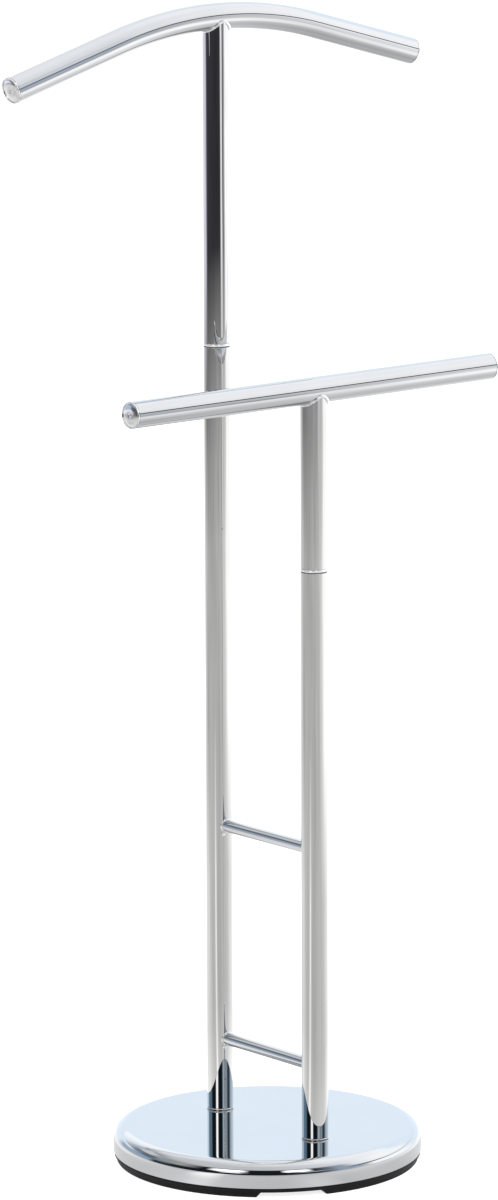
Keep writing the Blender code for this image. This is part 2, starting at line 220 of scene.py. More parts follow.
def section(builder, sides, point, tangent, normal, radius):
    """A ring of vertices about a point, square to the tangent."""
    binormal = tangent.cross(normal)
    ring = []
    for side in range(sides):
        angle = 2 * math.pi * side / sides
        offset = normal * math.cos(angle) + binormal * math.sin(angle)
        ring.append(builder.verts.new(point + offset * radius))
    return ring


def close_tube(builder, outside, inside):
    """Fill two skins of rings and join them at both ends."""
    for rings in (outside, inside):
        for first, second in zip(rings, rings[1:]):
            join_rings(builder, first, second)
    join_rings(builder, outside[0], inside[0])
    join_rings(builder, outside[-1], inside[-1])


def swept_tube(stations, radius, sides, wall):
    """Sweep an open tube with softened ends along (point, tangent, normal) stations."""
    builder = bmesh.new()
    first_point, first_tangent, first_normal = stations[0]
    last_point, last_tangent, last_normal = stations[-1]
    near = [section(builder, sides, *stations[0], radius - TUBE_EDGE)]
    far = [section(builder, sides, *stations[-1], radius - TUBE_EDGE)]
    inset = [
        (first_point + first_tangent * TUBE_EDGE, first_tangent, first_normal),
        *stations[1:-1],
        (last_point - last_tangent * TUBE_EDGE, last_tangent, last_normal),
    ]
    outside = near + [section(builder, sides, *station, radius) for station in inset] + far
    inside = [section(builder, sides, *station, radius - wall) for station in stations]
    close_tube(builder, outside, inside)
    return builder


def looped(stations, radii, sides):
    """Sweep circles of the given radii round a closed path of (point, tangent, normal) stations."""
    builder = bmesh.new()
    rings = [section(builder, sides, *station, radius) for station, radius in zip(stations, radii)]
    for first, second in zip(rings, rings[1:] + rings[:1]):
        join_rings(builder, first, second)
    return builder


def arc(centre_radius, centre_height, radius, start, end, steps):
    """Points of a circular arc in a turned profile."""
    angles = [start + (end - start) * step / steps for step in range(steps + 1)]
    return [
        (centre_radius + radius * math.cos(angle), centre_height + radius * math.sin(angle))
        for angle in angles
    ]


def add_piece(name, builder, material, body, nodes=()):
    """Make an object of the stand: smooth-shaded, riding on its body, standing for its nodes."""
    bmesh.ops.recalc_face_normals(builder, faces=builder.faces)
    mesh = bpy.data.meshes.new(name)
    builder.to_mesh(mesh)
    builder.free()
    mesh.shade_smooth()
    mesh.set_sharp_from_angle(angle=SMOOTH_ANGLE)
    mesh.materials.append(material)
    piece = bpy.data.objects.new(name, mesh)
    bpy.context.scene.collection.objects.link(piece)
    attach(piece, body)
    if nodes:
        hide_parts(*nodes)
    return piece


def moved(builder, matrix):
    """Place a mesh in the row frame."""
    bmesh.ops.transform(builder, matrix=matrix, verts=builder.verts)
    return builder


# ------------------------------------------------------------- materials

def new_material(name, colour, roughness, metallic):
    """A Principled material, with its node tree and shader."""
    material = bpy.data.materials.new(name)
    material.use_nodes = True
    tree = material.node_tree
    shader = tree.nodes["Principled BSDF"]
    shader.inputs["Base Color"].default_value = (*colour, 1.0)
    shader.inputs["Roughness"].default_value = roughness
    shader.inputs["Metallic"].default_value = metallic
    return material, tree, shader


def noise(tree, scale, detail=3.0, stretch=(1.0, 1.0, 1.0)):
    """A noise texture in object coordinates, finer along the axes that are stretched."""
    coordinates = tree.nodes.new("ShaderNodeTexCoord")
    mapping = tree.nodes.new("ShaderNodeMapping")
    mapping.inputs["Scale"].default_value = stretch
    texture = tree.nodes.new("ShaderNodeTexNoise")
    texture.inputs["Scale"].default_value = scale
    texture.inputs["Detail"].default_value = detail
    tree.links.new(coordinates.outputs["Object"], mapping.inputs["Vector"])
    tree.links.new(mapping.outputs["Vector"], texture.inputs["Vector"])
    return texture.outputs["Fac"]


def ranged(tree, value, low, high, start=0.3, end=0.7):
    """Map a 0 to 1 value to a range of numbers."""
    node = tree.nodes.new("ShaderNodeMapRange")
    node.inputs["From Min"].default_value = start
    node.inputs["From Max"].default_value = end
    node.inputs["To Min"].default_value = low
    node.inputs["To Max"].default_value = high
    tree.links.new(value, node.inputs["Value"])
    return node.outputs["Result"]


def blended(tree, value, first, second):
    """Mix two colours by a value."""
    node = tree.nodes.new("ShaderNodeMix")
    node.data_type = "RGBA"
    node.inputs["A"].default_value = (*first, 1.0)
    node.inputs["B"].default_value = (*second, 1.0)
    tree.links.new(value, node.inputs["Factor"])
    return node.outputs["Result"]


def bumped(tree, shader, value, strength, distance):
    """Drive the shader's normal with a bump."""
    node = tree.nodes.new("ShaderNodeBump")
    node.inputs["Strength"].default_value = strength
    node.inputs["Distance"].default_value = distance
    tree.links.new(value, node.inputs["Height"])
    tree.links.new(node.outputs["Normal"], shader.inputs["Normal"])


def chrome(name, colour, stretch):
    """Bright chrome plating with a faint haze and fine polishing marks along one direction."""
    material, tree, shader = new_material(name, colour, 0.02, 1.0)
    haze = noise(tree, 18.0)
    marks = noise(tree, 160.0, 2.0, stretch)
    duller = tuple(channel * 0.97 for channel in colour)
    tone = blended(tree, ranged(tree, haze, 0.0, 1.0), duller, colour)
    tree.links.new(tone, shader.inputs["Base Color"])
    tree.links.new(ranged(tree, marks, 0.010, 0.035), shader.inputs["Roughness"])
    bumped(tree, shader, haze, 0.01, 0.0002)
    return material


def satin_metal(name, colour, low, high, scale, stretch=(1.0, 1.0, 1.0), metallic=1.0):
    """Satin metal with uneven gloss and a fine grain."""
    material, tree, shader = new_material(name, colour, low, metallic)
    grain = noise(tree, scale, 4.0, stretch)
    darker = tuple(channel * 0.88 for channel in colour)
    tone = blended(tree, ranged(tree, grain, 0.0, 1.0), darker, colour)
    tree.links.new(tone, shader.inputs["Base Color"])
    tree.links.new(ranged(tree, grain, low, high), shader.inputs["Roughness"])
    bumped(tree, shader, grain, 0.05, 0.0001)
    return material


def black_plastic():
    """Matt black moulded plastic with a fine spark-eroded grain and some dust-grey flecks."""
    material, tree, shader = new_material("black_plastic", (0.012, 0.012, 0.014), 0.5, 0.0)
    shader.inputs["Specular IOR Level"].default_value = 0.25
    grain = noise(tree, 900.0, 3.0)
    patches = noise(tree, 60.0, 4.0)
    patchiness = ranged(tree, patches, 0.0, 1.0, 0.45, 0.75)
    tone = blended(tree, patchiness, (0.003, 0.003, 0.004), (0.009, 0.009, 0.010))
    tree.links.new(tone, shader.inputs["Base Color"])
    tree.links.new(ranged(tree, patches, 0.42, 0.6), shader.inputs["Roughness"])
    bumped(tree, shader, grain, 0.4, 0.0002)
    return material


def cement():
    """Rough cast cement with sand and pores."""
    material, tree, shader = new_material("cement", (0.36, 0.35, 0.33), 0.92, 0.0)
    sand = noise(tree, 260.0, 6.0)
    tone = blended(tree, ranged(tree, sand, 0.0, 1.0), (0.27, 0.26, 0.245), (0.43, 0.42, 0.40))
    tree.links.new(tone, shader.inputs["Base Color"])
    bumped(tree, shader, sand, 0.6, 0.0008)
    return material


# ---------------------------------------------------------------- pieces

def node_centre(node):
    """Middle of a node's box."""
    low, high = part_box(node)
    return (low + high) / 2


def tube_facts(node):
    """Axis point at the bottom, radius and length of an upright tube node."""
    low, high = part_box(node)
    centre = node_centre(node)
    return Vector((centre.x, centre.y, low.z)), (high.x - low.x) / 2, high.z - low.z


def upright_move(node):
    """The move from the world's Z axis to a node's own."""
    centre = node_centre(node)
    return Matrix.Translation((centre.x, centre.y, 0.0))


def make_base(material):
    """Chromed cover with its rounded edge and turned-in lower lip."""
    low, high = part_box("base_cover")
    radius = (high.x - low.x) / 2
    edge_centre = radius - BASE_EDGE_RADIUS
    edge_height = high.z - BASE_EDGE_RADIUS
    quarter = math.pi / 2
    lip = BASE_WALL / 2
    profile = [(0.0, high.z)]
    profile += [(edge_centre * share, high.z) for share in (0.25, 0.5, 0.75, 0.95)]
    profile += arc(edge_centre, edge_height, BASE_EDGE_RADIUS, quarter, 0.0, 28)
    profile += arc(radius - lip, low.z + lip, lip, 0.0, -math.pi, 8)
    profile += arc(edge_centre, edge_height, BASE_EDGE_RADIUS - BASE_WALL, 0.0, quarter, 12)
    profile += [(0.0, high.z - BASE_WALL)]
    add_piece("base_cover_shell", turned(profile, BASE_SIDES), material, "stand",
              ["base_cover"])


def pierced(builder, radius, axes):
    """Cut an upright round hole through a mesh at each of the axes."""
    bmesh.ops.recalc_face_normals(builder, faces=builder.faces)
    cutters = [moved(hole_cutter(radius), Matrix.Translation(axis)) for axis in axes]
    items = []
    for shape in [builder] + cutters:
        mesh = bpy.data.meshes.new("pierced")
        shape.to_mesh(mesh)
        shape.free()
        item = bpy.data.objects.new("pierced", mesh)
        bpy.context.scene.collection.objects.link(item)
        items.append(item)
    for cutter in items[1:]:
        modifier = items[0].modifiers.new("hole", "BOOLEAN")
        modifier.operation = "DIFFERENCE"
        modifier.object = cutter
        modifier.solver = "EXACT"
    result = bmesh.new()
    result.from_object(items[0], bpy.context.evaluated_depsgraph_get())
    for item in items:
        mesh = item.data
        bpy.data.objects.remove(item, do_unlink=True)
        bpy.data.meshes.remove(mesh)
    return result


def hole_cutter(radius):
    """A disc about the floor plane, thick enough to go through the pan."""
    profile = [(0.0, CUTTER_BOTTOM), (radius, CUTTER_BOTTOM), (radius, CUTTER_TOP), (0.0, CUTTER_TOP)]
    shape = turned(profile, TUBE_SIDES)
    bmesh.ops.recalc_face_normals(shape, faces=shape.faces)
    return shape


def make_pan(material):
    """Black pan: its flange under the cover, and the foot ring in three sectors."""
    low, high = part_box("base_pan")
    flange_radius = (high.x - low.x) / 2
    foot_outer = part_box("base_cover")[1].x - FOOT_INSET
    foot_inner = foot_outer - FOOT_WIDTH
    foot_middle = (foot_outer + foot_inner) / 2
    flange_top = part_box("base_cover")[0].z - GAP
    quarter = math.pi / 2
    edge = FOOT_EDGE
    rim = flange_radius - PAN_RIM
    floor_top = FOOT_HEIGHT + PAN_FLOOR
    profile = [(0.0, FOOT_HEIGHT), (foot_inner, FOOT_HEIGHT), (flange_radius - edge, FOOT_HEIGHT)]
    profile += arc(flange_radius - edge, FOOT_HEIGHT + edge, edge, -quarter, 0.0, 4)
    profile += arc(flange_radius - edge, flange_top - edge, edge, 0.0, quarter, 4)
    profile += [(rim, flange_top), (rim, floor_top), (0.0, floor_top)]
    posts = [Vector((0.0, node_centre(side + "_post_bolt").y, 0.0)) for side in ("rear", "front")]
    builder = pierced(turned(profile, BASE_SIDES), BOLT_POCKET_RADIUS, posts)
    half_gap = math.asin(FOOT_GAP_WIDTH / 2 / foot_middle)
    for start_gap, end_gap in zip(FOOT_GAP_ANGLES, FOOT_GAP_ANGLES[1:] + FOOT_GAP_ANGLES[:1]):
        start = start_gap + half_gap
        end = (end_gap - half_gap - start) % (2 * math.pi) + start
        add_foot_sector(builder, start, end, foot_inner, foot_outer)
    add_piece("base_pan_moulding", builder, material, "stand", ["base_pan"])


def add_foot_sector(builder, start, end, inner, outer):
    """One raised arc of the foot ring, with softened lower edges and sloped ends."""
    rings = []
    for step in range(SECTOR_STEPS + 1):
        angle = start + (end - start) * step / SECTOR_STEPS
        bottom = FOOT_HEIGHT if step in (0, SECTOR_STEPS) else 0.0
        outline = [
            (inner, FOOT_HEIGHT + FOOT_ROOT),
            (inner, bottom + FOOT_EDGE),
            (inner + FOOT_EDGE, bottom),
            (outer - FOOT_EDGE, bottom),
            (outer, bottom + FOOT_EDGE),
            (outer, FOOT_HEIGHT + FOOT_ROOT),
        ]
        ring = []
        for radius, height in outline:
            corner = (radius * math.cos(angle), radius * math.sin(angle), height)
            ring.append(builder.verts.new(corner))
        rings.append(ring)
    for first, second in zip(rings, rings[1:]):
        join_rings(builder, first, second)
    builder.faces.new(rings[0])
    builder.faces.new(rings[-1])


def make_upright_tube(name, node, body, material):
    """Straight post tube with softened cut ends."""
    foot, radius, length = tube_facts(node)
    up = Vector((0.0, 0.0, 1.0))
    side = Vector((1.0, 0.0, 0.0))
    stations = [
        (foot + up * (length * step / STRAIGHT_STEPS), up, side)
        for step in range(STRAIGHT_STEPS + 1)
    ]
    builder = swept_tube(stations, radius, TUBE_SIDES, TUBE_WALL)
    add_piece(name, builder, material, body, [node])


def saddle_height(x, y, axis_height, radius, arc_radius=None):
    """Underside height of the cross tube over a point of the post."""
    drop = 0.0
    if arc_radius is not None:
        drop = arc_radius - math.sqrt(arc_radius ** 2 - x ** 2)
    reach = radius + GAP
    return axis_height - drop - math.sqrt(max(reach ** 2 - y ** 2, 0.0))


def make_saddled_tube(name, node, body, axis_height, material, arc_radius=None):
    """Upper post tube whose top edge follows the round of the cross tube."""
    foot, radius, _ = tube_facts(node)
    builder = bmesh.new()

    def skin(size, soften):
        rings = []
        for row in range(SADDLED_ROWS + 1):
            reach = size - soften if row == 0 else size
            share = row / SADDLED_ROWS
            ring = []
            for side in range(TUBE_SIDES):
                angle = 2 * math.pi * side / TUBE_SIDES
                x = reach * math.cos(angle)
                y = reach * math.sin(angle)
                top = saddle_height(x, y, axis_height, radius, arc_radius)
                height = foot.z + (top - foot.z) * share
                if row == 1:
                    height = foot.z + TUBE_EDGE
                ring.append(builder.verts.new((foot.x + x, foot.y + y, height)))
            rings.append(ring)
        return rings

    close_tube(builder, skin(radius, TUBE_EDGE), skin(radius - TUBE_WALL, 0.0))
    add_piece(name, builder, material, body, [node])


def make_saddle_weld(name, node, body, axis_height, material, arc_radius=None):
    """Polished weld bead along the saddle between a post and its cross tube."""
    foot, radius, _ = tube_facts(node)
    points = []
    radii = []
    for side in range(TUBE_SIDES):
        angle = 2 * math.pi * side / TUBE_SIDES
        x = radius * math.cos(angle)
        y = radius * math.sin(angle)
        height = saddle_height(x, y * WELD_HUG, axis_height, radius, arc_radius)
        ripple = WELD_RIPPLE * math.sin(WELD_RIPPLES * angle)
        place = (foot.x + x * WELD_SPREAD, foot.y + y * WELD_SPREAD, height - WELD_SINK + ripple)
        points.append(Vector(place))
        fuller = max(math.cos(angle - WELD_FULL_SIDE), 0.0) ** 2
        radii.append(WELD_RADIUS + (WELD_FULL_RADIUS - WELD_RADIUS) * fuller)
    add_loop_bead(name, points, radii, body, material)


def add_loop_bead(name, points, radii, body, material):
    """A thin bead round a closed run of points."""
    centre = sum(points, Vector()) / len(points)
    stations = []
    for index, point in enumerate(points):
        tangent = (points[(index + 1) % len(points)] - points[index - 1]).normalized()
        outward = point - centre
        normal = (outward - tangent * outward.dot(tangent)).normalized()
        stations.append((point, tangent, normal))
    add_piece(name, looped(stations, radii, BEAD_SIDES), material, body)


def hanger_stations(apex):
    """Axis of the jacket hanger, from -X to +X."""
    across = Vector((0.0, 1.0, 0.0))
    stations = []
    for step in range(ARC_STEPS + 1):
        angle = HANGER_HALF_ANGLE * (2 * step / ARC_STEPS - 1)
        offset = Vector((math.sin(angle), 0.0, math.cos(angle) - 1)) * HANGER_ARC_RADIUS
        tangent = Vector((math.cos(angle), 0.0, -math.sin(angle)))
        stations.append((apex + offset, tangent, across))
    before, after = [], []
    first_point, first_tangent, _ = stations[0]
    last_point, last_tangent, _ = stations[-1]
    for step in range(STRAIGHT_STEPS, 0, -1):
        run = HANGER_END_RUN * step / STRAIGHT_STEPS
        before.append((first_point - first_tangent * run, first_tangent, across))
        after.insert(0, (last_point + last_tangent * run, last_tangent, across))
    return before + stations + after


def make_cap(name, node, body, end, outward, radius, material):
    """Satin end cap: a low dome inside a rounded rim, with a small ring mark in the middle."""
    sleeve = radius - TUBE_WALL - GAP
    rim_centre = radius - CAP_RIM_ROUND
    profile = [(0.0, -CAP_STEM), (sleeve, -CAP_STEM), (sleeve, GAP), (radius - CAP_EDGE, GAP)]
    profile += arc(rim_centre, CAP_FACE - CAP_RIM_ROUND, CAP_RIM_ROUND, 0.0, CAP_RIM_TURN, 10)
    dome_radius = rim_centre - CAP_RIM_ROUND
    for step in range(CAP_STEPS):
        distance = dome_radius * (1 - step / CAP_STEPS)
        mark = math.exp(-((distance - CAP_MARK_RADIUS) / CAP_MARK_WIDTH) ** 2)
        fall = CAP_DOME * (distance / dome_radius) ** CAP_DOME_POWER
        profile.append((distance, CAP_TOP - fall - CAP_MARK_DEPTH * mark))
    profile.append((0.0, CAP_TOP))
    turn = Vector((0.0, 0.0, 1.0)).rotation_difference(outward).to_matrix().to_4x4()
    builder = moved(turned(profile, TUBE_SIDES), Matrix.Translation(end) @ turn)
    add_piece(name, builder, material, body, [node])


def make_collar(side, material, seam_shade_material):
    """Bright collar between the two lengths of a post, with the sleeve below it, and a dark ring in
    the seam as painted shade of the gap.
    """
    node = side + "_joint_bush"
    low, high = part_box(node)
    radius = (high.x - low.x) / 2
    tube_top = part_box(side + "_lower_tube")[1].z
    bottom = tube_top + COLLAR_SEAM
    top = high.z + COLLAR_RISE
    quarter = math.pi / 2
    edge = radius - COLLAR_ROUNDING
    sleeve = radius - SLEEVE_INSET
    bore = sleeve - SLEEVE_WALL
    profile = [(bore, low.z), (sleeve, low.z), (sleeve, bottom)]
    profile += arc(edge, bottom + COLLAR_ROUNDING, COLLAR_ROUNDING, -quarter, 0.0, 8)
    profile += arc(edge, top - COLLAR_ROUNDING, COLLAR_ROUNDING, 0.0, quarter, 8)
    profile.append((bore, top))
    builder = moved(turned(profile, TUBE_SIDES, True), upright_move(node))
    add_piece(side + "_collar", builder, material, "stand", [node])
    # Painted shade: a dark ring fills the seam under the collar in place of the gap's shadow.
    seam_shade = radius - COLLAR_SHADE_INSET
    seam_shade_low = tube_top + GAP / 2
    seam_shade_high = bottom - COLLAR_SHADE_PLAY
    seam = [(sleeve, seam_shade_low), (seam_shade, seam_shade_low), (seam_shade, seam_shade_high), (sleeve, seam_shade_high)]
    builder = moved(turned(seam, TUBE_SIDES, True), upright_move(node))
    add_piece(side + "_collar_seam_shade", builder, seam_shade_material, "stand")


def make_foot_ring(side, material):
    """Thin bright ring between the base and a post."""
    node = side + "_foot_ring"
    low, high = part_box(node)
    radius = (high.x - low.x) / 2
    inner = radius - FOOT_RING_WIDTH
    groove = radius - FOOT_RING_GROOVE
    bottom = low.z + (high.z - low.z) * FOOT_RING_LIFT
    half = (high.z - bottom) / 2
    profile = [(inner, low.z), (groove, low.z), (groove, bottom)]
    profile += arc(radius - half, bottom + half, half, -math.pi / 2, math.pi / 2, 10)
    profile.append((inner, high.z))
    builder = moved(turned(profile, TUBE_SIDES, True), upright_move(node))
    add_piece(side + "_foot_collar", builder, material, "stand", [node])


def make_rung(name, material, weld_material):
    """Rung between the posts, saddle-cut at both ends, with a weld bead at each."""
    low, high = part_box(name)
    radius = (high.x - low.x) / 2
    height = (low.z + high.z) / 2
    post_radius = tube_facts("rear_lower_tube")[1]
    rear_y = node_centre("rear_lower_tube").y
    front_y = node_centre("front_lower_tube").y
    builder = bmesh.new()

    def reach_over(x):
        return math.sqrt((post_radius + GAP) ** 2 - x ** 2)

    def skin(size):
        rings = []
        for column in range(SADDLED_ROWS + 1):
            share = column / SADDLED_ROWS
            ring = []
            for side in range(RUNG_SIDES):
                angle = 2 * math.pi * side / RUNG_SIDES
                x = size * math.cos(angle)
                start = front_y + reach_over(x)
                end = rear_y - reach_over(x)
                place = (x, start + (end - start) * share, height + size * math.sin(angle))
                ring.append(builder.verts.new(place))
            rings.append(ring)
        return rings

    close_tube(builder, skin(radius), skin(radius - RUNG_WALL))
    add_piece(name + "_tube", builder, material, "stand", [name])
    for side, y, towards in (("rear", rear_y, -1.0), ("front", front_y, 1.0)):
        points = []
        for step in range(RUNG_SIDES):
            angle = 2 * math.pi * step / RUNG_SIDES
            x = radius * RUNG_WELD_SPREAD * math.cos(angle)
            z = height + radius * RUNG_WELD_SPREAD * math.sin(angle)
            points.append(Vector((x, y + towards * reach_over(x), z)))
        radii = [RUNG_WELD_RADIUS] * RUNG_SIDES
        add_loop_bead(name + "_" + side + "_weld", points, radii, "stand",
                      weld_material)
    add_weld_nub(name + "_weld_nub", post_radius, rear_y, height - radius, weld_material)


def add_weld_nub(name, post_radius, post_y, rung_bottom, material):
    """A drop of weld on a post, under the end of a rung."""
    reach = post_radius + WELD_NUB_RADIUS * WELD_NUB_OUT
    across, along = WELD_NUB_SIDE
    height = rung_bottom - WELD_NUB_RADIUS * WELD_NUB_DOWN
    nub = bmesh.new()
    bmesh.ops.create_uvsphere(nub, u_segments=32, v_segments=16, radius=WELD_NUB_RADIUS)
    bmesh.ops.scale(nub, verts=nub.verts, vec=WELD_NUB_SHAPE)
    bmesh.ops.translate(nub, verts=nub.verts, vec=(reach * across, post_y + reach * along, height))
    add_piece(name, nub, material, "stand")


def dress_inner_nodes(fastener, steel, cement_look):
    """Give the CAD nodes that stay as they are their finished materials."""
    looks = {"base_ballast": (cement_look, "cement")}
    for side in ("rear", "front"):
        looks[side + "_joint_pin"] = (steel, "joint_steel")
        for part in ("_post_bolt", "_post_washer", "_foot_insert"):
            looks[side + part] = (fastener, "fastener")
    for node, (material, slot) in looks.items():
        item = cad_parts[node]
        item.data.materials.clear()
        item.data.materials.append(material)


def make_hanger_head(tube_material, post_material, weld_material, cap_material):
    """Jacket hanger with its post, weld and end caps."""
    body = "hanger_head"
    post = "rear_upper_tube"
    radius = tube_facts("rear_lower_tube")[1]
    low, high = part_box("hanger_tube")
    centre = (low + high) / 2
    apex = Vector((centre.x, centre.y, high.z - radius))
    path = hanger_stations(apex)
    builder = swept_tube(path, radius, TUBE_SIDES, TUBE_WALL)
    add_piece("jacket_hanger", builder, tube_material, body, ["hanger_tube"])
    make_saddled_tube("rear_upper_post", post, body, apex.z, post_material, HANGER_ARC_RADIUS)
    make_saddle_weld("hanger_weld", post, body, apex.z, weld_material, HANGER_ARC_RADIUS)
    for side, (end, tangent, _), sense in (("left", path[0], -1.0), ("right", path[-1], 1.0)):
        make_cap("hanger_end_" + side, "hanger_cap_" + side, body, end, tangent * sense, radius,
                 cap_material)


def make_trouser_head(tube_material, post_material, weld_material, cap_material):
    """Trouser bar with its post, weld and end caps."""
    body = "trouser_head"
    post = "front_upper_tube"
    radius = tube_facts("rear_lower_tube")[1]
    low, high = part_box("trouser_bar")
    centre = (low + high) / 2
    along = Vector((1.0, 0.0, 0.0))
    across = Vector((0.0, 1.0, 0.0))
    half = (high.x - low.x) / 2
    steps = 4 * STRAIGHT_STEPS
    path = [
        (centre + along * (half * (2 * step / steps - 1)), along, across)
        for step in range(steps + 1)
    ]
    builder = swept_tube(path, radius, TUBE_SIDES, TUBE_WALL)
    add_piece("trouser_rail", builder, tube_material, body, ["trouser_bar"])
    make_saddled_tube("front_upper_post", post, body, centre.z, post_material)
    make_saddle_weld("trouser_bar_weld", post, body, centre.z, weld_material)
    for side, (end, tangent, _), sense in (("left", path[0], -1.0), ("right", path[-1], 1.0)):
        make_cap("bar_end_" + side, "bar_cap_" + side, body, end, tangent * sense, radius,
                 cap_material)


def make_stand():
    """Every visible piece of the valet stand."""
    upright_chrome = chrome("upright_tube_chrome", (0.70, 0.70, 0.695), (1.0, 1.0, 0.05))
    level_chrome = chrome("level_tube_chrome", (0.69, 0.70, 0.715), (0.05, 1.0, 1.0))
    rung_chrome = chrome("rung_chrome", (0.69, 0.70, 0.715), (1.0, 0.05, 1.0))
    base_chrome = chrome("base_chrome", (0.69, 0.705, 0.72), (0.4, 0.4, 1.0))
    weld = satin_metal("polished_weld", (0.93, 0.93, 0.94), 0.06, 0.12, 300.0, metallic=0.75)
    bright = satin_metal("bright_collar", (0.94, 0.94, 0.95), 0.05, 0.10, 40.0, metallic=0.65)
    satin = satin_metal("satin_cap", (0.97, 0.97, 0.97), 0.03, 0.07, 300.0, metallic=0.92)
    # Dark metal for the ring in each collar's seam: painted shade of the gap between collar and lower
    # tube.
    seam_shade = satin_metal("painted_seam_shade", (0.13, 0.13, 0.135), 0.35, 0.55, 300.0, metallic=0.3)
    zinc = satin_metal("zinc_plate", (0.55, 0.56, 0.58), 0.28, 0.45, 180.0)
    steel = satin_metal("turned_steel", (0.62, 0.63, 0.65), 0.25, 0.4, 90.0, (1.0, 1.0, 20.0))

    make_base(base_chrome)
    make_pan(black_plastic())
    for side in ("rear", "front"):
        make_foot_ring(side, bright)
        make_upright_tube(side + "_lower_post", side + "_lower_tube", "stand", upright_chrome)
        make_collar(side, bright, seam_shade)
    for rung in ("lower_rung", "upper_rung"):
        make_rung(rung, rung_chrome, weld)
    make_hanger_head(level_chrome, upright_chrome, weld, satin)
    make_trouser_head(level_chrome, upright_chrome, weld, satin)
    dress_inner_nodes(zinc, steel, cement())


# ----------------------------------------------------------------- stage
# The stops of bearing and brightness on the dome and the floor disc are not free choices. They
# were listed after measuring how bright the photographed chrome is in each direction that it
# reflects, and then changed until renders agreed. Only stage objects use them.

def emissive(name):
    """An emission-only material and its tree and emission node."""
    material = bpy.data.materials.new(name)
    material.use_nodes = True
    tree = material.node_tree
    tree.nodes.clear()
    output = tree.nodes.new("ShaderNodeOutputMaterial")
    glow = tree.nodes.new("ShaderNodeEmission")
    tree.links.new(glow.outputs["Emission"], output.inputs["Surface"])
    return material, tree, glow


def maths(tree, operation, first, second=None):
    """A math node fed by sockets or numbers."""
    node = tree.nodes.new("ShaderNodeMath")
    node.operation = operation
    for index, value in enumerate((first, second)):
        if value is None:
            continue
        if isinstance(value, (int, float)):
            node.inputs[index].default_value = value
        else:
            tree.links.new(value, node.inputs[index])
    return node.outputs["Value"]


def ramp(tree, value, stops):
    """A colour ramp from (position, colour) stops."""
    node = tree.nodes.new("ShaderNodeValToRGB")
    elements = node.color_ramp.elements
    while len(elements) < len(stops):
        elements.new(1.0)
    for element, (position, colour) in zip(elements, stops):
        element.position = position
        element.color = (*colour, 1.0)
    tree.links.new(value, node.inputs["Fac"])
    return node.outputs["Color"]


def blended_values(tree, factor, first, second):
    """Mix two number sockets."""
    node = tree.nodes.new("ShaderNodeMix")
    tree.links.new(factor, node.inputs["Factor"])
    tree.links.new(first, node.inputs["A"])
    tree.links.new(second, node.inputs["B"])
    return node.outputs["Result"]


def mix_colours(tree, factor, first, second):
    """Mix two colour sockets."""
    node = tree.nodes.new("ShaderNodeMix")
    node.data_type = "RGBA"
    tree.links.new(factor, node.inputs["Factor"])
    tree.links.new(first, node.inputs["A"])
    tree.links.new(second, node.inputs["B"])
    return node.outputs["Result"]


def bearing(tree, position):
    """Bearing round Z of a position, 0 to 1 with 0.5 along local +X, and its split axes."""
    split = tree.nodes.new("ShaderNodeSeparateXYZ")
    tree.links.new(position, split.inputs["Vector"])
    angle = maths(tree, "ARCTAN2", split.outputs["Y"], split.outputs["X"])
    turn = maths(tree, "MULTIPLY", angle, 1 / (2 * math.pi))
    return maths(tree, "ADD", turn, 0.5), split


def grey(value, tint=NEUTRAL):
    """A colour of the given brightness."""
    return tuple(value * channel for channel in tint)


def bearing_stops(levels, tint=NEUTRAL):
    """Ramp stops from (bearing in degrees, brightness) or (bearing, brightness, tint) levels."""
    stops = []
    for degrees, value, *own_tint in levels:
        stops.append((degrees / 360 + 0.5, grey(value, own_tint[0] if own_tint else tint)))
    return stops


def vector_length(tree, vector):
    """Length of a vector socket."""
    node = tree.nodes.new("ShaderNodeVectorMath")
    node.operation = "LENGTH"
    tree.links.new(vector, node.inputs[0])
    return node.outputs["Value"]


def rising(tree, value, span):
    """0 below the span of a value, 1 above it."""
    return ranged(tree, value, 0.0, 1.0, *span)


def falling(tree, value, span):
    """1 below the span of a value, 0 above it."""
    return ranged(tree, value, 1.0, 0.0, *span)


def plain_colour(tree, colour):
    """A socket that gives one colour."""
    paint = tree.nodes.new("ShaderNodeRGB")
    paint.outputs[0].default_value = (*colour, 1.0)
    return paint.outputs[0]


def add_panel(tree, under, around, height, left, right, softness, bottom, top, colour):
    """Lay an evenly lit panel with soft edges over the dome's colour."""
    sideways = ramp(tree, around, bearing_stops([
        (left - softness, 0.0), (left + softness, 1.0), (right - softness, 1.0),
        (right + softness, 0.0)]))
    above_bottom = rising(tree, height, (bottom - PANEL_EDGE, bottom + PANEL_EDGE))
    below_top = falling(tree, height, (top - PANEL_EDGE, top + PANEL_EDGE))
    upright = maths(tree, "MULTIPLY", above_bottom, below_top)
    cover = maths(tree, "MULTIPLY", sideways, upright)
    return mix_colours(tree, cover, under, plain_colour(tree, colour))


